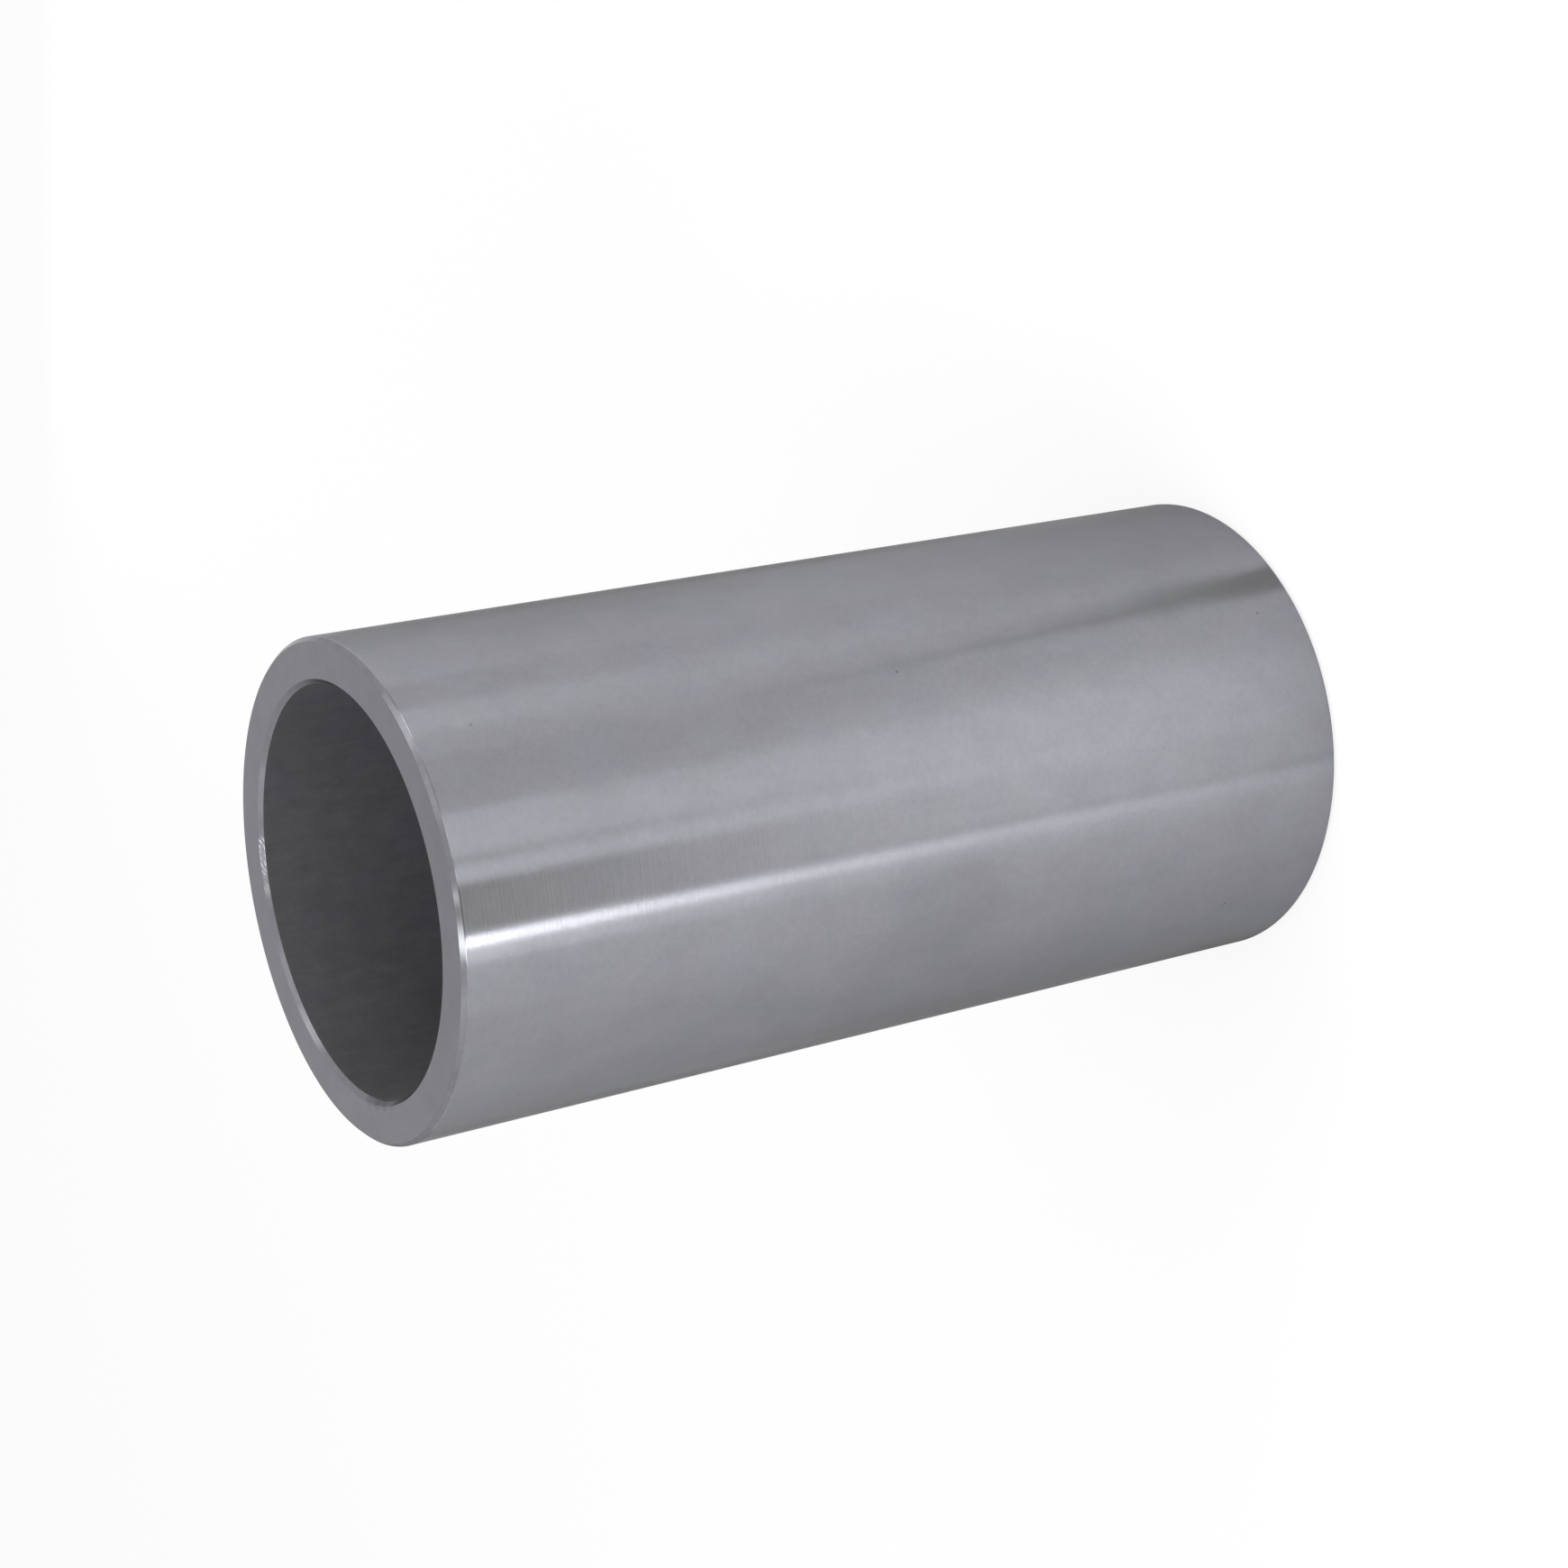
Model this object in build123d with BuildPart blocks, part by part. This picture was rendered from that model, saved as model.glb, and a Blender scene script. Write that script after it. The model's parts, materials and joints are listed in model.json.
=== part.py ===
"""Spacer sleeve: a plain steel tube, turned outside, faced square and chamfered at both ends.

Millimetres. The sleeve stands on one end: its axis is +Z, and the origin is the centre of
the lower end, on the plane that it stands on.
"""

import os

from build123d import *

# Driving dimensions
bore_diameter = 45.0
wall_thickness = 5.0
length = 114.0
outside_chamfer = 0.5  # leg of the 45 degree chamfer on each outside edge
bore_chamfer = 0.5  # leg of the 45 degree chamfer on each bore edge

# The outside follows the bore and the wall around it
outside_diameter = bore_diameter + 2 * wall_thickness

# One turned piece: the wall's section raised to the full length, then its edges broken
with BuildPart() as sleeve:
    with BuildSketch():
        Circle(outside_diameter / 2)
        Circle(bore_diameter / 2, mode=Mode.SUBTRACT)
    extrude(amount=length)
    rims = edges().filter_by(GeomType.CIRCLE).group_by(SortBy.RADIUS)
    bore_rims, outside_rims = rims[0], rims[-1]
    chamfer(outside_rims, outside_chamfer)
    chamfer(bore_rims, bore_chamfer)

sleeve.part.label = "sleeve"

os.makedirs("parts", exist_ok=True)
export_step(sleeve.part, "parts/sleeve.step")
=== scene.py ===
import json
import math

import bpy
from mathutils import Matrix, Vector


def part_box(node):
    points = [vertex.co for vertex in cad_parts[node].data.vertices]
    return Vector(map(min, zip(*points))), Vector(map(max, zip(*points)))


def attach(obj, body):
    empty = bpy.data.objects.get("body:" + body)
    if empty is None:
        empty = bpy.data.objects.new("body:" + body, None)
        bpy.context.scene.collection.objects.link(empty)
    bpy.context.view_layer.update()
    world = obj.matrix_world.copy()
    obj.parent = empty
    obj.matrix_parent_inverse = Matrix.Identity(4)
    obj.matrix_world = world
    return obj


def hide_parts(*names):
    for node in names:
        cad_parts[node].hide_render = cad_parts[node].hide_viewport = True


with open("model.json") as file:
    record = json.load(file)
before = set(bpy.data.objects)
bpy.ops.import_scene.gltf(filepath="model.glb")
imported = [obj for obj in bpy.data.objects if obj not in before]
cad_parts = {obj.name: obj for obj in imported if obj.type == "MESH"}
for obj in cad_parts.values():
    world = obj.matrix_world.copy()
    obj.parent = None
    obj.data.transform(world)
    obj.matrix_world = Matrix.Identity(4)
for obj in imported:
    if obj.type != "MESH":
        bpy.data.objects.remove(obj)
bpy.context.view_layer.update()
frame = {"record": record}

# Lengths are in metres. A bearing is an angle about the sleeve's axis, in degrees from the front (-Y),
# positive towards +X. A rise is an angle above the horizontal, in degrees.
MM = 0.001
UP = Vector((0, 0, 1))

# ---------------------------------------------------------------- the camera's values
CAMERA_PLACE = Vector((0.00243, -0.31948, 0.24591))
CAMERA_DIP = math.radians(30.396)
CAMERA_ROLL = math.radians(-101.108)
SENSOR_WIDTH_MM = 36
LENS_MM = 74.148
NEAREST_SEEN = 0.01

# ---------------------------------------------------------------- sizes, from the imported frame
low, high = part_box("sleeve")
LENGTH = high.z - low.z
OUTSIDE = (high.x - low.x) / 2
mounts = {m["name"]: m for m in frame["record"]["mounts"]}
BORE = mounts["bore"]["dims"]["r_mm"] * MM
BORE_CHAMFER = (LENGTH - mounts["bore"]["dims"]["length_mm"] * MM) / 2
OUTSIDE_CHAMFER = (LENGTH - mounts["outside"]["dims"]["length_mm"] * MM) / 2

# ---------------------------------------------------------------- the sleeve's section and mesh
# Radius at each kind of edge, and the number of steps that round it
SHARP_ROUND = 0.06 * MM
ROLLED_ROUND = 0.25 * MM
SOFT_ROUND = 0.08 * MM
ROUND_STEPS = 4

# Chatter marks on the upper bore chamfer: bearings in degrees, and lengths
CHATTER_MIDDLE = 163
CHATTER_BEFORE = 4
CHATTER_AFTER = 13
CHATTER_PITCH = 0.75 * MM
CHATTER_SLANT = 1.1 * MM
CHATTER_DEPTH = 0.019 * MM
# How the marks stray from even steps: (phase in radians, length of run per radian, start)
CHATTER_WANDER = [(0.9, 0.9 * MM, 0.0), (0.5, 0.37 * MM, 1.3)]

# The burr at the same chamfer
BURR_MIDDLE = -94
BURR_REACH = 8
BURR_HEIGHT = 0.07 * MM

# Degrees from one column of the mesh to the next, in general and across the chatter marks
COLUMN_STEP = 1
FINE_STEP = 0.125
# Steps over which the relief's slope is taken, in degrees and as a share of the chamfer
SLOPE_DEGREES = 0.02
SLOPE_SHARE = 0.01
# How far below the upper bore chamfer's lower edge a point still counts as on it
CHAMFER_SLACK = 0.01 * BORE_CHAMFER

# The materials' places in the sleeve's list
GROUND, TURNED, RIM, BORE_RIM, DRAWN = range(5)


def outwards(bearing, distance=1.0):
    """The horizontal vector at that bearing and distance from the axis."""
    a = math.radians(bearing - 90)
    return Vector((distance * math.cos(a), distance * math.sin(a), 0))


def section():
    """The wall's outline as (place, normal, material), where a place is (radius, height)."""
    r0, r1, c0, c1 = BORE, OUTSIDE, BORE_CHAMFER, OUTSIDE_CHAMFER
    # Each corner, its rounding, and the material and number of steps of the run that starts there
    corners = [
        ((r1 - c1, 0.0), SOFT_ROUND, RIM, 2),
        ((r1, c1), ROLLED_ROUND, GROUND, 24),
        ((r1, LENGTH - c1), ROLLED_ROUND, RIM, 2),
        ((r1 - c1, LENGTH), SOFT_ROUND, TURNED, 6),
        ((r0 + c0, LENGTH), SHARP_ROUND, BORE_RIM, 8),
        ((r0, LENGTH - c0), SHARP_ROUND, DRAWN, 16),
        ((r0, c0), SHARP_ROUND, BORE_RIM, 2),
        ((r0 + c0, 0.0), SHARP_ROUND, TURNED, 6),
    ]
    n = len(corners)
    places = [Vector(corner[0]) for corner in corners]
    ways = [(places[(i + 1) % n] - places[i]).normalized() for i in range(n)]
    turns = [ways[i - 1].angle(ways[i]) for i in range(n)]
    reaches = [corners[i][1] * math.tan(turns[i] / 2) for i in range(n)]
    points = []
    for i, (_, radius, material, steps) in enumerate(corners):
        before, after, turn = ways[i - 1], ways[i], turns[i]
        n_before = Vector((before.y, -before.x))
        n_after = Vector((after.y, -after.x))
        centre = places[i] - before * reaches[i] - n_before * radius
        for k in range(ROUND_STEPS + 1):
            t = k / ROUND_STEPS
            normal = (n_before * math.sin((1 - t) * turn) + n_after * math.sin(t * turn)).normalized()
            points.append((centre + normal * radius, normal, material))
        following = (i + 1) % n
        start = places[i] + after * reaches[i]
        end = places[following] - after * reaches[following]
        for k in range(1, steps):
            points.append((start.lerp(end, k / steps), n_after, material))
    return points


def chamfer_share(place):
    """How far across the upper bore chamfer a place lies: 0 at the face, 1 at the bore, and 0 off it."""
    if place.y <= LENGTH - BORE_CHAMFER - CHAMFER_SLACK:
        return 0.0
    return min(1.0, max(0.0, (BORE + BORE_CHAMFER - place.x) / BORE_CHAMFER))


def window(bearing, middle, before, after):
    """1 at the middle bearing, falling smoothly to 0 that many degrees before and after it."""
    away = (bearing - middle + 180) % 360 - 180
    away = away / after if away > 0 else away / -before
    return math.cos(math.pi / 2 * min(1.0, away)) ** 2


def relief(bearing, share):
    """How far the upper bore chamfer stands out: slanting chatter marks, and a small burr."""
    if share <= 0.0 or share >= 1.0:
        return 0.0
    run = math.radians(bearing) * BORE
    phase = 2 * math.pi * (run - CHATTER_SLANT * share) / CHATTER_PITCH
    for size, length, start in CHATTER_WANDER:
        phase += size * math.sin(run / length + start)
    marked = window(bearing, CHATTER_MIDDLE, CHATTER_BEFORE, CHATTER_AFTER)
    burred = window(bearing, BURR_MIDDLE, BURR_REACH, BURR_REACH)
    stand = CHATTER_DEPTH * marked * math.sin(phase) + BURR_HEIGHT * burred * share
    return stand * math.sin(math.pi * share)


def columns():
    """The bearings of the mesh's columns, which are closer together across the chatter marks."""
    start, stop = CHATTER_MIDDLE - CHATTER_BEFORE, CHATTER_MIDDLE + CHATTER_AFTER
    fine = [start + i * FINE_STEP for i in range(round((stop - start) / FINE_STEP))]
    return fine + list(range(stop, start + 360, COLUMN_STEP))


def facing(bearing, normal, share):
    """The wall's normal at a bearing, tilted on the upper bore chamfer by the slope of its relief."""
    out = outwards(bearing)
    plain = out * normal.x + UP * normal.y
    if share <= 0.0 or share >= 1.0:
        return plain
    around = (relief(bearing + SLOPE_DEGREES, share) - relief(bearing - SLOPE_DEGREES, share)) / (
        2 * math.radians(SLOPE_DEGREES) * BORE)
    across = (relief(bearing, share + SLOPE_SHARE) - relief(bearing, share - SLOPE_SHARE)) / (
        2 * SLOPE_SHARE * BORE_CHAMFER * math.sqrt(2))
    down = (-out - UP) / math.sqrt(2)
    return (plain - outwards(bearing + 90) * around - down * across).normalized()


def show(name, data):
    """A new object in the scene with that mesh, lamp or camera."""
    made = bpy.data.objects.new(name, data)
    bpy.context.scene.collection.objects.link(made)
    return made


def lathe(name, materials):
    """The section turned about the axis, as one closed mesh with a normal of its own at each point."""
    ring = section()
    bearings = columns()
    m, n = len(ring), len(bearings)
    verts, normals, faces, index = [], [], [], []
    for bearing in bearings:
        out = outwards(bearing)
        for place, normal, _ in ring:
            share = chamfer_share(place)
            point = place + normal * relief(bearing, share)
            verts.append(out * point.x + UP * point.y)
            normals.append(facing(bearing, normal, share))
    for j in range(n):
        k = (j + 1) % n
        for i in range(m):
            h = (i + 1) % m
            faces.append((j * m + i, k * m + i, k * m + h, j * m + h))
            index.append(ring[i][2])
    mesh = bpy.data.meshes.new(name)
    mesh.from_pydata(verts, [], faces)
    for material in materials:
        mesh.materials.append(material)
    mesh.polygons.foreach_set("material_index", index)
    mesh.polygons.foreach_set("use_smooth", [True] * len(faces))
    mesh.normals_split_custom_set_from_vertices(normals)
    mesh.update()
    return show(name, mesh)


# ---------------------------------------------------------------- material helpers
# The part of a mark's radius that is darkest throughout
MARK_CORE = 0.35


def node(tree, kind, *first, operation=None, **named):
    """A shader node, with values or links for its first inputs in order and for named ones, _ for a space."""
    made = tree.nodes.new("ShaderNode" + kind)
    if operation:
        made.operation = operation
    plugs = list(zip(made.inputs, first)) + [
        (made.inputs[name.replace("_", " ")], value) for name, value in named.items()]
    for plug, value in plugs:
        if isinstance(value, bpy.types.NodeSocket):
            tree.links.new(value, plug)
        else:
            plug.default_value = value
    return made


def new_tree(owner):
    """The empty node tree of a new material or world."""
    owner.use_nodes = True
    owner.node_tree.nodes.clear()
    return owner.node_tree


def object_place(tree):
    """The shaded point's place, in metres in the shared frame."""
    return node(tree, "TexCoord").outputs["Object"]


def noise(tree, around, along, detail=2.0, seed=0.0):
    """A noise with that many cycles a metre around and along the sleeve."""
    scale, shift = (around, around, along), (seed, seed, seed)
    place = node(tree, "Mapping", Vector=object_place(tree), Scale=scale, Location=shift)
    made = node(tree, "TexNoise", Vector=place.outputs[0], Scale=1.0, Detail=detail, Roughness=0.6)
    return made.outputs["Fac"]


def spread(tree, value, start, stop, source=(0.3, 0.7)):
    """Brings a value from its source range to start..stop, and keeps it there."""
    low_end, high_end = source
    made = node(tree, "MapRange", Value=value, From_Min=low_end, From_Max=high_end, To_Min=start, To_Max=stop)
    return made.outputs["Result"]


def multiply(tree, a, b):
    return node(tree, "Math", a, b, operation="MULTIPLY").outputs[0]


def larger(tree, a, b):
    return node(tree, "Math", a, b, operation="MAXIMUM").outputs[0]


def blend_colours(tree, value, stops):
    """A colour that runs through the stops, (position, colour) each, as the value grows."""
    ramp = node(tree, "ValToRGB", Fac=value)
    elements = ramp.color_ramp.elements
    while len(elements) < len(stops):
        elements.new(0.5)
    for element, (position, colour) in zip(elements, stops):
        element.position = position
        element.color = (*colour, 1)
    return ramp.outputs["Color"]


def shade(tree, colour, tone):
    return node(tree, "VectorMath", operation="SCALE", Vector=colour, Scale=tone).outputs[0]


def bump(tree, height, depth, normal=None):
    made = node(tree, "Bump", Height=height, Distance=depth)
    if normal is not None:
        tree.links.new(normal, made.inputs["Normal"])
    return made.outputs["Normal"]


def bare_steel(name, roughness, anisotropy, edge):
    """Steel whose highlights spread across tool marks that run round it. Returns (material, shader)."""
    mat = bpy.data.materials.new(name)
    mat.use_nodes = True
    tree = mat.node_tree
    shader = tree.nodes["Principled BSDF"]
    shader.inputs["Metallic"].default_value = 1.0
    shader.inputs["Roughness"].default_value = roughness
    shader.inputs["Anisotropic"].default_value = anisotropy
    shader.inputs["Anisotropic Rotation"].default_value = 0.25
    shader.inputs["Specular Tint"].default_value = (edge, edge, edge, 1)
    tangent = node(tree, "Tangent")
    tangent.direction_type = "RADIAL"
    tangent.axis = "Z"
    tree.links.new(tangent.outputs["Tangent"], shader.inputs["Tangent"])
    return mat, shader


def mark(tree, bearing, from_top, radius, strength, wall=OUTSIDE):
    """A round dark mark on the wall of radius wall: 1 away from it, 1 - strength at its middle."""
    middle = outwards(bearing, wall) + UP * (LENGTH - from_top)
    away = node(tree, "VectorMath", object_place(tree), middle, operation="DISTANCE").outputs["Value"]
    made = node(tree, "MapRange", Value=away, From_Min=radius * MARK_CORE, From_Max=radius,
                To_Min=1 - strength, To_Max=1.0)
    made.interpolation_type = "SMOOTHSTEP"
    return made.outputs["Result"]


# ---------------------------------------------------------------- materials
GREY = (0.2600, 0.2620, 0.2865)
LAVENDER = (0.2605, 0.2600, 0.2925)
COOL = (0.2555, 0.2625, 0.2885)

# Each surface's colours: (position in its noise, colour)
GROUND_COLOURS = [(0.36, COOL), (0.47, GREY), (0.56, GREY), (0.66, LAVENDER)]
TURNED_COLOURS = [(0.38, (0.161, 0.163, 0.180)), (0.5, (0.163, 0.163, 0.182)), (0.62, (0.165, 0.162, 0.185))]
CHAMFER_COLOURS = [(0.4, (0.211, 0.213, 0.228)), (0.6, (0.213, 0.212, 0.234))]
BORE_COLOURS = [(0.38, (0.196, 0.198, 0.206)), (0.5, (0.198, 0.197, 0.214)), (0.62, (0.199, 0.195, 0.224))]

# How far into the bore it is darker than deep inside, and its tone at the mouth
BORE_SHADE_REACH = 26 * MM
BORE_MOUTH_TONE = 0.54

# Marks on the outside: (bearing, distance from the upper end, radius, strength)
MARKS = [
    (25.9, 57.6 * MM, 0.24 * MM, 0.45),
    (31.5, 7.1 * MM, 0.22 * MM, 0.30),
    (24.3, 107.8 * MM, 0.24 * MM, 0.35),
    (-50.5, 100.8 * MM, 0.26 * MM, 0.45),
    (-31.0, 59.0 * MM, 11.0 * MM, 0.08),
]

# The smear at the bore's upper edge, in the same values: partly dirt, partly painted shade and painted dark
# reflection at the burr
BURR_DIRT_AND_SHADE = [
    (-87, 0.2 * MM, 1.3 * MM, 0.20),
    (-92, 0.2 * MM, 1.4 * MM, 0.30),
    (-97, 0.2 * MM, 1.4 * MM, 0.30),
    (-102, 0.2 * MM, 1.3 * MM, 0.20),
]


def with_burr_dirt_and_shade(tree, tone):
    """That tone with the smear at the bore's upper edge: partly dirt, partly painted shade and painted dark
    reflection at the burr.
    """
    for bearing, from_top, radius, strength in BURR_DIRT_AND_SHADE:
        tone = multiply(tree, tone, mark(tree, bearing, from_top, radius, strength, BORE))
    return tone


def ground_outside():
    """Ground steel: fine marks around it, cloudy patches of tone, and a few specks."""
    mat, shader = bare_steel("ground_outside", roughness=0.20, anisotropy=1.0, edge=0.62)
    tree = mat.node_tree
    colour = blend_colours(tree, noise(tree, 110, 80, detail=5.0), GROUND_COLOURS)
    tone = spread(tree, noise(tree, 220, 150, detail=2.0, seed=3.0), 0.965, 1.035)
    tone = multiply(tree, tone, spread(tree, noise(tree, 1100, 1300, detail=2.0, seed=7.0), 0.975, 1.025))
    tone = multiply(tree, tone, spread(tree, noise(tree, 3400, 3800, detail=2.0, seed=8.0), 0.965, 1.035))
    for bearing, from_top, radius, strength in MARKS:
        tone = multiply(tree, tone, mark(tree, bearing, from_top, radius, strength))
    tree.links.new(shade(tree, colour, tone), shader.inputs["Base Color"])
    grooves = bump(tree, noise(tree, 60, 6000), 0.010 * MM)
    mottle = bump(tree, noise(tree, 900, 1100, detail=1.0, seed=5.0), 0.0016 * MM, grooves)
    tree.links.new(mottle, shader.inputs["Normal"])
    return mat


def turned_face():
    """A turned end face: faint rings and clouds."""
    mat, shader = bare_steel("turned_face", roughness=0.35, anisotropy=0.3, edge=1.0)
    tree = mat.node_tree
    colour = blend_colours(tree, noise(tree, 130, 130, detail=1.0, seed=2.0), TURNED_COLOURS)
    tone = spread(tree, noise(tree, 300, 300, detail=4.0, seed=9.0), 0.94, 1.06)
    tone = multiply(tree, tone, spread(tree, noise(tree, 3600, 3600, seed=3.0), 0.97, 1.03))
    # The face's colour carries the smear at the burr: partly dirt, partly painted shade and painted dark
    # reflection
    tree.links.new(shade(tree, colour, with_burr_dirt_and_shade(tree, tone)), shader.inputs["Base Color"])
    level = node(tree, "VectorMath", object_place(tree), (1, 1, 0), operation="MULTIPLY").outputs[0]
    radius = node(tree, "VectorMath", level, operation="LENGTH").outputs["Value"]
    rings = node(tree, "TexNoise", Scale=5200, Detail=1.0)
    rings.noise_dimensions = "1D"
    tree.links.new(radius, rings.inputs["W"])
    tree.links.new(bump(tree, rings.outputs["Fac"], 0.006 * MM), shader.inputs["Normal"])
    return mat


def cut_rim(name, edge):
    """A chamfer as the tool left it."""
    mat, shader = bare_steel(name, roughness=0.22, anisotropy=1.0, edge=edge)
    tree = mat.node_tree
    colour = blend_colours(tree, noise(tree, 160, 160, seed=6.0), CHAMFER_COLOURS)
    # The chamfer's colour carries the smear at the burr: partly dirt, partly painted shade and painted dark
    # reflection
    tone = with_burr_dirt_and_shade(tree, spread(tree, noise(tree, 700, 700, detail=2.0, seed=4.0), 0.93, 1.07))
    tree.links.new(shade(tree, colour, tone), shader.inputs["Base Color"])
    return mat


def drawn_bore():
    """The drawn bore: dark, dull and faintly streaked along its length, darkest at its upper mouth."""
    mat = bpy.data.materials.new("drawn_bore")
    mat.use_nodes = True
    tree = mat.node_tree
    shader = tree.nodes["Principled BSDF"]
    shader.inputs["Metallic"].default_value = 0.4
    shader.inputs["Roughness"].default_value = 0.62
    colour = blend_colours(tree, noise(tree, 170, 120, detail=4.0, seed=6.0), BORE_COLOURS)
    height = node(tree, "SeparateXYZ", object_place(tree)).outputs["Z"]
    tone = spread(tree, height, BORE_MOUTH_TONE, 1.0, source=(LENGTH, LENGTH - BORE_SHADE_REACH))
    tone = multiply(tree, tone, spread(tree, noise(tree, 1000, 140, detail=3.0), 0.95, 1.05))
    tone = multiply(tree, tone, spread(tree, noise(tree, 500, 420, detail=4.0, seed=8.0), 0.92, 1.08))
    tone = multiply(tree, tone, spread(tree, noise(tree, 3000, 2000, detail=2.0, seed=4.0), 0.95, 1.05))
    tree.links.new(shade(tree, colour, tone), shader.inputs["Base Color"])
    streaks = bump(tree, noise(tree, 2200, 240, detail=2.0, seed=1.0), 0.006 * MM)
    tree.links.new(streaks, shader.inputs["Normal"])
    return mat


sleeve = lathe("sleeve_steel", [
    ground_outside(),
    turned_face(),
    cut_rim("chamfer_cut", 0.6),
    cut_rim("bore_chamfer_cut", 0.5),
    drawn_bore(),
])
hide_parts("sleeve")
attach(sleeve, "root")

# ---------------------------------------------------------------- floor and surroundings
FLOOR_DROP = 0.02 * MM
FLOOR_HALF = 6.0
FLOOR_WHITE = 0.85
# How much of the floor's white is its own glow, as the camera and the steel see it
CAMERA_SHARE = 0.80
MIRROR_SHARE = 0.35
# The surroundings' strength as light, and as seen or mirrored
WORLD_LIGHT = 0.9
WORLD_WHITE = 1.0


def floor_material():
    """Matt white, which the camera sees near plain white and the steel sees a little more shaded."""
    mat = bpy.data.materials.new("floor_white")
    tree = new_tree(mat)
    path = node(tree, "LightPath").outputs
    in_steel = larger(tree, path["Is Glossy Ray"], path["Is Transmission Ray"])
    seen = multiply(tree, path["Is Camera Ray"], CAMERA_SHARE)
    share = larger(tree, seen, multiply(tree, in_steel, MIRROR_SHARE))
    matt = node(tree, "BsdfDiffuse", Color=(FLOOR_WHITE, FLOOR_WHITE, FLOOR_WHITE, 1))
    glow = node(tree, "Emission", Strength=1.0)
    mix = node(tree, "MixShader", share, matt.outputs[0], glow.outputs[0])
    node(tree, "OutputMaterial", Surface=mix.outputs[0])
    return mat


def make_floor():
    half = FLOOR_HALF
    mesh = bpy.data.meshes.new("floor")
    corners = [(-half, -half), (half, -half), (half, half), (-half, half)]
    mesh.from_pydata([(x, y, -FLOOR_DROP) for x, y in corners], [], [(0, 1, 2, 3)])
    mesh.materials.append(floor_material())
    floor = show("floor", mesh)


def make_world():
    """White where it is seen or mirrored, and a soft even light everywhere else."""
    world = bpy.data.worlds.new("studio_world")
    bpy.context.scene.world = world
    tree = new_tree(world)
    path = node(tree, "LightPath").outputs
    in_steel = larger(tree, path["Is Glossy Ray"], path["Is Transmission Ray"])
    seen = larger(tree, path["Is Camera Ray"], in_steel)
    light = node(tree, "Background", Color=(1, 1, 1, 1), Strength=WORLD_LIGHT)
    white = node(tree, "Background", Color=(1, 1, 1, 1), Strength=WORLD_WHITE)
    mix = node(tree, "MixShader", seen, light.outputs[0], white.outputs[0])
    node(tree, "OutputWorld", Surface=mix.outputs[0])


make_floor()
make_world()


# ---------------------------------------------------------------- lamps
OVERHEAD_DISTANCE = 0.60
POOL_HEIGHT = 0.9
POOL_SOFTNESS = 0.03


def soft_box(name, place, towards, width, height, radiance, colour=(1, 1, 1)):
    """A rectangular lamp that faces a point, of that radiance, which the camera doesn't see."""
    light = bpy.data.lights.new(name, "AREA")
    light.shape = "RECTANGLE"
    light.size = width
    light.size_y = height
    light.color = colour
    light.energy = radiance * math.pi * width * height
    lamp = show(name, light)
    lamp.location = place
    lamp.rotation_mode = "QUATERNION"
    lamp.rotation_quaternion = (towards - place).to_track_quat("-Z", "Y")
    lamp.visible_camera = False


def upright(name, start, stop, distance, foot, head, radiance):
    """A soft box that stands upright between two bearings and faces the sleeve's axis."""
    middle = UP * ((foot + head) / 2)
    width = 2 * distance * math.tan(math.radians(abs(start - stop)) / 2)
    soft_box(name, outwards((start + stop) / 2, distance) + middle, middle, width, head - foot, radiance)


def overhead(name, bearing, rise, width, depth, radiance, colour=(1, 1, 1)):
    """A soft box that hangs above, at that bearing and rise from the sleeve's upper end."""
    e = math.radians(rise)
    top = UP * LENGTH
    place = top + (outwards(bearing) * math.cos(e) + UP * math.sin(e)) * OVERHEAD_DISTANCE
    soft_box(name, place, top, width, depth, radiance, colour)


def pool(name, x, y, cone, power):
    """A round patch of light on the floor, from straight above, for the sleeve to mirror."""
    light = bpy.data.lights.new(name, "SPOT")
    light.energy = power
    light.spot_size = math.radians(cone)
    light.spot_blend = 1.0
    light.shadow_soft_size = POOL_SOFTNESS
    lamp = show(name, light)
    lamp.location = (x, y, POOL_HEIGHT)
    lamp.visible_glossy = False


# Upright soft boxes: (name, from bearing, to bearing, distance, foot, head, radiance)
UPRIGHT = [
    ("right_back", 165, 130, 0.40, 0.02, 0.14, 1.0),
    ("right_rear", 130, 88, 0.40, 0.02, 0.14, 1.4),
    ("glow", 73, 60, 0.40, 0.07, 0.24, 3.5),
    ("glow_tail", 60, 48, 0.40, 0.07, 0.24, 1.2),
    ("front_pane", 24, 6, 0.40, 0.02, 0.26, 1.6),
    ("front_slot", 2, -5, 0.40, 0.02, 0.26, 2.0),
    ("streak", -26.8, -31.0, 0.28, 0.01, 0.10, 10.2),
    ("streak_tail", -31.0, -38.0, 0.28, 0.01, 0.11, 1.3),
    ("streak_high", -30.0, -37.0, 0.28, 0.13, 0.40, 6.0),
    ("left_front", -38, -62, 0.40, 0.02, 0.24, 0.85),
    ("left", -62, -95, 0.40, 0.02, 0.20, 0.5),
    ("left_rear", -95, -130, 0.40, 0.02, 0.14, 0.9),
]
for values in UPRIGHT:
    upright(*values)

# Soft boxes above: (name, bearing, rise, width, depth, radiance, and a colour that isn't white)
OVERHEAD = [
    ("key", -47, 62.5, 0.075, 0.15, 8.0),
    ("spark", -17, 65, 0.045, 0.10, 4.0, (1.0, 0.90, 0.88)),
    ("right_top", 90, 48, 0.30, 0.16, 1.3),
    ("fill_top", 54, 60, 0.22, 0.20, 0.6),
    ("left_top", -85, 50, 0.35, 0.16, 0.55),
]
for values in OVERHEAD:
    overhead(*values)

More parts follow.
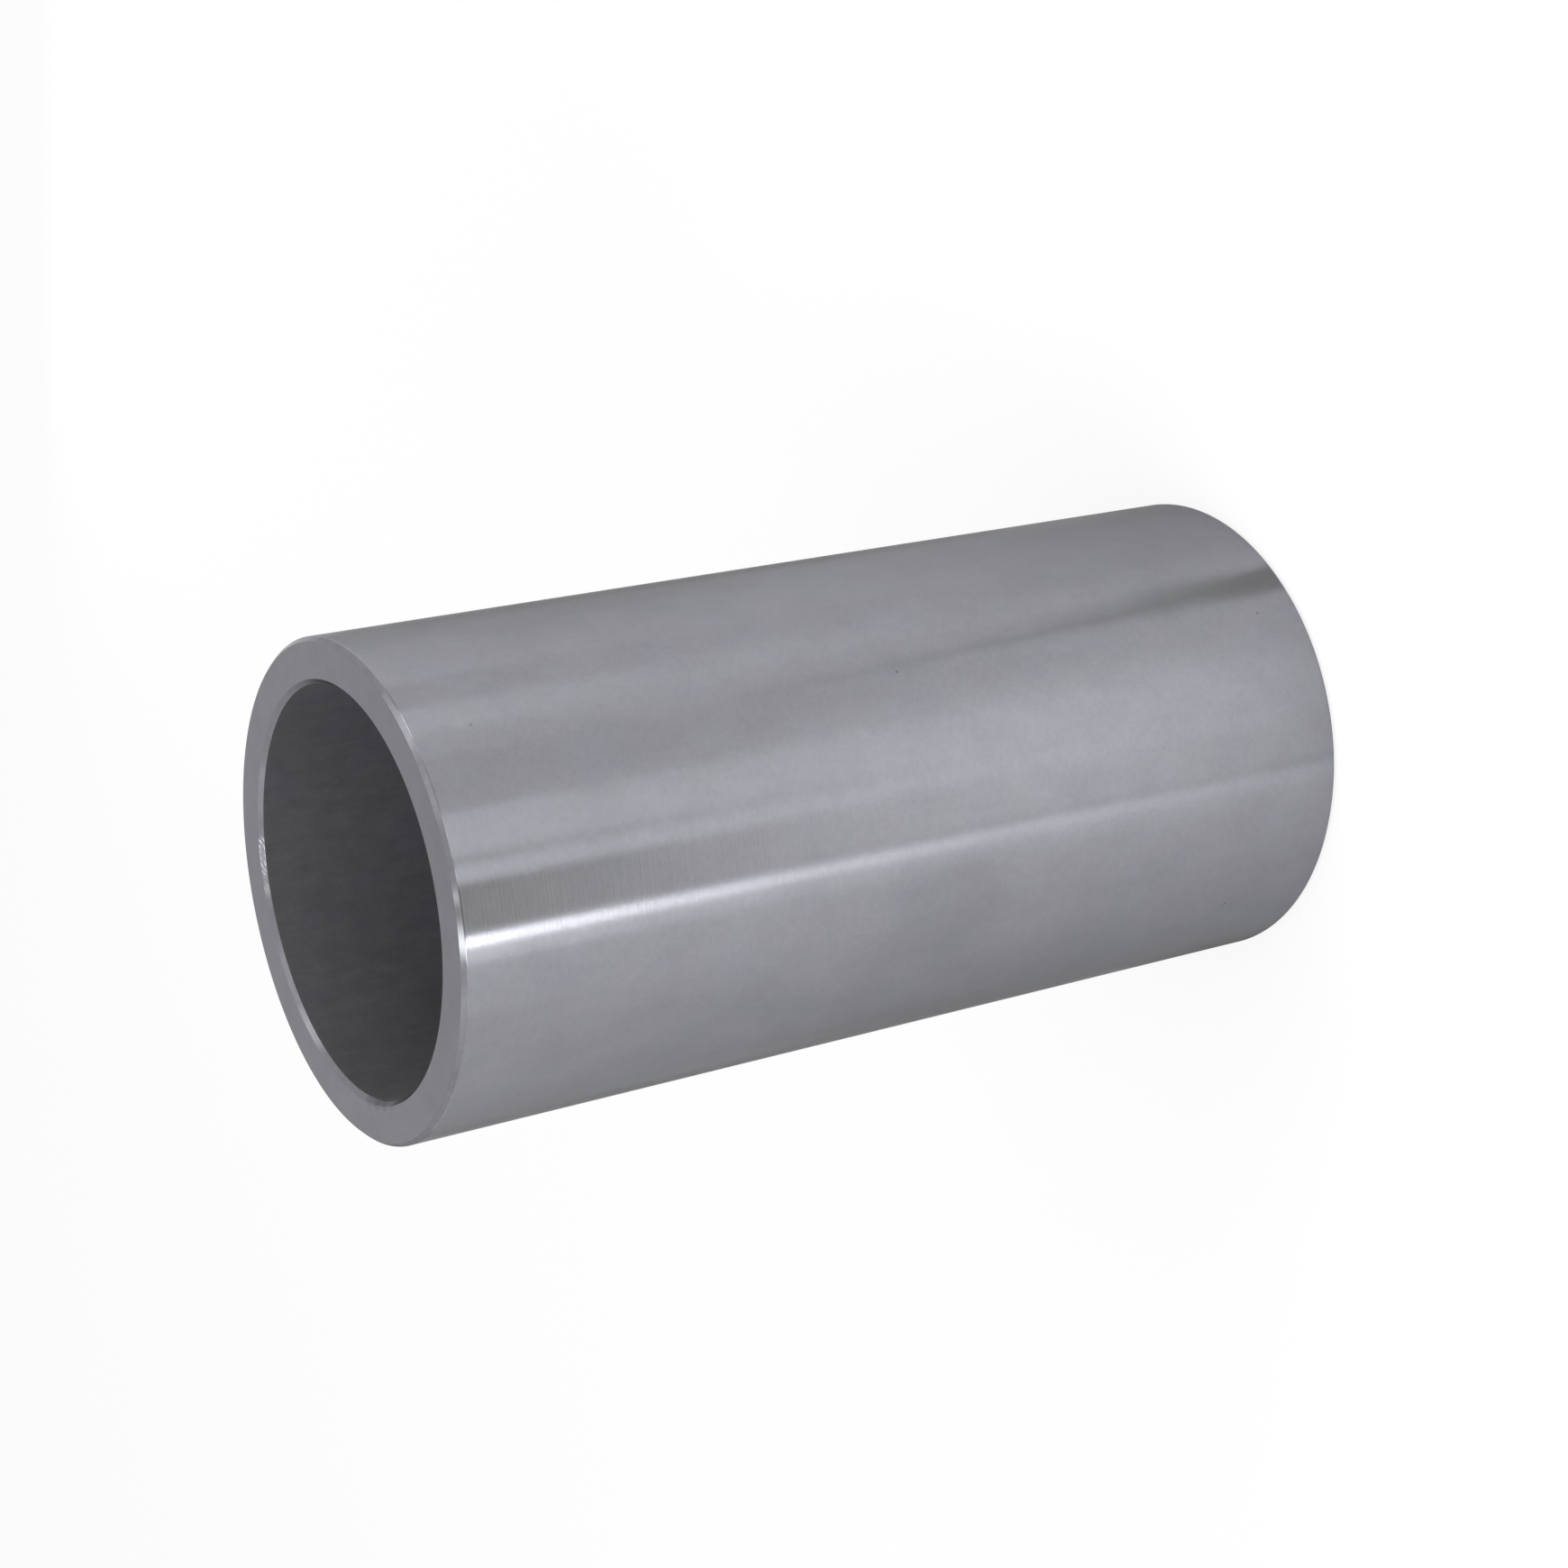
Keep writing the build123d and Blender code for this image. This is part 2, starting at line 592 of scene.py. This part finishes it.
# Pools of light on the floor: (name, x, y, width of the cone in degrees, power)
POOLS = [
    ("pool_near", 0.008, -0.048, 5, 17),
    ("pool_front", 0.008, -0.118, 11, 28),
    ("pool_left", -0.09, -0.10, 14, 10.5),
    ("pool_right", 0.128, 0.0, 14, 7.5),
]
for values in POOLS:
    pool(*values)


# ---------------------------------------------------------------- cards, which only the steel sees
def stage_for_steel(name, mesh):
    """A piece of the stage that shows only where the steel mirrors it."""
    obj = show(name, mesh)
    obj.visible_camera = False
    obj.visible_shadow = False
    obj.visible_diffuse = False


def standing_card(name, start, stop, head, tone):
    """A matt card of that colour that stands on the floor from one (x, y) to the other."""
    mesh = bpy.data.meshes.new(name)
    mesh.from_pydata([(*start, 0), (*stop, 0), (*stop, head), (*start, head)], [], [(0, 1, 2, 3)])
    mat = bpy.data.materials.new(name)
    mat.use_nodes = True
    shader = mat.node_tree.nodes["Principled BSDF"]
    shader.inputs["Base Color"].default_value = (*tone, 1)
    shader.inputs["Roughness"].default_value = 1.0
    mesh.materials.append(mat)
    stage_for_steel(name, mesh)


standing_card("left_card", (-0.040, 0.018), (-0.024, 0.042), 0.10, (0.75, 0.75, 0.75))
standing_card("right_card", (0.040, 0.018), (0.024, 0.042), 0.10, (0.88, 0.88, 0.88))
standing_card("front_card", outwards(-6, 0.38).xy, outwards(-26, 0.38).xy, 0.30, (0.40, 0.38, 0.32))


# ---------------------------------------------------------------- smoked film on the floor
FILM_HEIGHT = 0.2 * MM


def mirrored(bearing, height):
    """The point on the floor that the camera sees mirrored in the outside, at that bearing and height."""
    place = outwards(bearing, OUTSIDE) + UP * height
    ray = (place - CAMERA_PLACE).reflect(outwards(bearing))
    return place + ray * (height / -ray.z)


def straight(bearings, rows):
    """The rows of a film whose points stand at the same bearings in every row."""
    return [(height, list(zip(bearings, clearness))) for height, clearness in rows]


def film(name, rows, warmth=1.03):
    """Film that darkens the floor where the steel mirrors it.

    A row is (height in mm of its reflection on the sleeve, [(bearing, clearness), ...]).
    The film passes blue as clearness to the power of warmth.
    """
    points, tones, faces = [], [], []
    wide = len(rows[0][1])
    for height, row in rows:
        for bearing, clearness in row:
            spot = mirrored(bearing, height * MM)
            points.append((spot.x, spot.y, FILM_HEIGHT))
            tones += [clearness, clearness, clearness ** warmth, 1.0]
    for j in range(len(rows) - 1):
        for i in range(wide - 1):
            k = j * wide + i
            faces.append((k, k + 1, k + wide + 1, k + wide))
    mesh = bpy.data.meshes.new(name)
    mesh.from_pydata(points, [], faces)
    mesh.color_attributes.new("clearness", "FLOAT_COLOR", "POINT").data.foreach_set("color", tones)
    mat = bpy.data.materials.new(name)
    tree = new_tree(mat)
    tone = node(tree, "Attribute")
    tone.attribute_name = "clearness"
    clear = node(tree, "BsdfTransparent", Color=tone.outputs["Color"])
    node(tree, "OutputMaterial", Surface=clear.outputs[0])
    mesh.materials.append(mat)
    stage_for_steel(name, mesh)


film("right_band", [
    (0.3, [(39, 1), (36, 0.50), (34, 0.50), (31, 0.58), (28.5, 0.95), (22, 0.92), (13, 1)]),
    (10, [(38, 1), (35, 0.52), (32, 0.52), (30, 0.58), (28.0, 0.95), (22, 0.92), (13, 1)]),
    (16, [(38.5, 1), (35, 0.56), (32, 0.56), (30.5, 0.60), (28, 0.96), (22, 0.94), (13, 1)]),
    (24, [(40, 1), (36, 0.80), (32, 0.72), (30.5, 0.64), (27.5, 1), (22, 0.98), (13, 1)]),
    (32, [(39, 1), (33, 0.88), (31, 0.82), (29.5, 0.70), (27.5, 1), (22, 0.98), (13, 1)]),
    (40, [(39, 1), (33, 0.94), (30.5, 0.85), (29, 0.70), (27.3, 1), (22, 0.96), (13, 1)]),
    (48, [(36, 1), (31, 0.95), (29.5, 0.90), (28.2, 0.75), (26.8, 1), (22, 0.95), (13, 1)]),
    (56, [(31, 1), (30, 0.96), (29, 0.90), (28, 0.80), (26.5, 1), (22, 0.95), (13, 1)]),
    (66, [(30, 1), (29.2, 0.98), (28.5, 0.95), (27.6, 0.88), (26.2, 1), (22, 0.98), (13, 1)]),
    (76, [(29, 1), (28.5, 1), (28, 1), (27.3, 1), (26.2, 1), (22, 1), (13, 1)]),
], warmth=1.12)
film("front_dim", straight((-1.8, -3.3, -5, -8, -12, -13), [
    (100, (1, 1, 1, 1, 1, 1)),
    (114, (1, 0.35, 0.5, 0.6, 0.5, 1)),
    (140, (1, 0.2, 0.25, 0.35, 0.25, 1)),
    (220, (1, 0.2, 0.25, 0.35, 0.25, 1)),
]), warmth=1.2)
film("left_shade", straight((-17, -24, -36, -50, -62, -70, -76, -83), [
    (0.3, (1, 0.97, 0.93, 0.87, 0.87, 0.66, 0.40, 0.30)),
    (10, (1, 0.97, 0.93, 0.87, 0.87, 0.66, 0.40, 0.30)),
    (34, (1, 0.95, 0.90, 0.84, 0.80, 0.66, 0.50, 0.40)),
    (56, (1, 0.88, 0.87, 0.84, 0.77, 0.62, 0.50, 0.40)),
    (74, (1, 0.96, 0.95, 0.89, 0.89, 0.80, 0.65, 0.50)),
    (97, (1, 0.97, 0.96, 0.90, 0.88, 0.82, 0.70, 0.50)),
    (114, (1, 1, 1, 0.93, 0.91, 0.84, 0.70, 0.50)),
    (200, (1, 1, 1, 0.93, 0.91, 0.84, 0.70, 0.50)),
]))
film("right_shade", straight((38, 46, 54, 62, 70, 76, 83), [
    (0.3, (1, 0.93, 0.90, 0.90, 0.82, 0.65, 0.50)),
    (10, (1, 0.93, 0.90, 0.90, 0.82, 0.65, 0.50)),
    (34, (1, 0.93, 0.90, 0.95, 0.95, 0.80, 0.60)),
    (56, (1, 1, 1, 1, 0.98, 0.80, 0.60)),
    (74, (1, 0.97, 0.96, 0.95, 0.93, 0.80, 0.60)),
    (97, (1, 1, 0.95, 0.98, 0.86, 0.75, 0.60)),
    (114, (1, 1, 0.95, 0.98, 0.86, 0.75, 0.60)),
    (200, (1, 1, 0.95, 0.98, 0.86, 0.75, 0.60)),
]))
film("left_line", [
    (0.3, [(-11, 1), (-14, 0.90), (-16, 1)]),
    (10, [(-11, 1), (-14, 0.86), (-15.5, 1)]),
    (24, [(-11.5, 1), (-14, 0.88), (-15.2, 1)]),
    (40, [(-11.5, 1), (-13.5, 0.86), (-14.5, 1)]),
    (56, [(-11, 1), (-13.2, 0.84), (-14.2, 1)]),
    (74, [(-11, 1), (-13, 0.90), (-14, 1)]),
    (84, [(-11, 1), (-13, 1), (-14, 1)]),
])

# ---------------------------------------------------------------- camera
camera_data = bpy.data.cameras.new("camera")
camera_data.sensor_width = SENSOR_WIDTH_MM
camera_data.lens = LENS_MM
camera_data.clip_start = NEAREST_SEEN
camera = show("camera", camera_data)
camera.matrix_world = (
    Matrix.Translation(CAMERA_PLACE)
    @ Matrix.Rotation(math.pi / 2 - CAMERA_DIP, 4, "X")
    @ Matrix.Rotation(CAMERA_ROLL, 4, "Z")
)
bpy.context.scene.camera = camera
bpy.context.scene.view_settings.view_transform = "Standard"
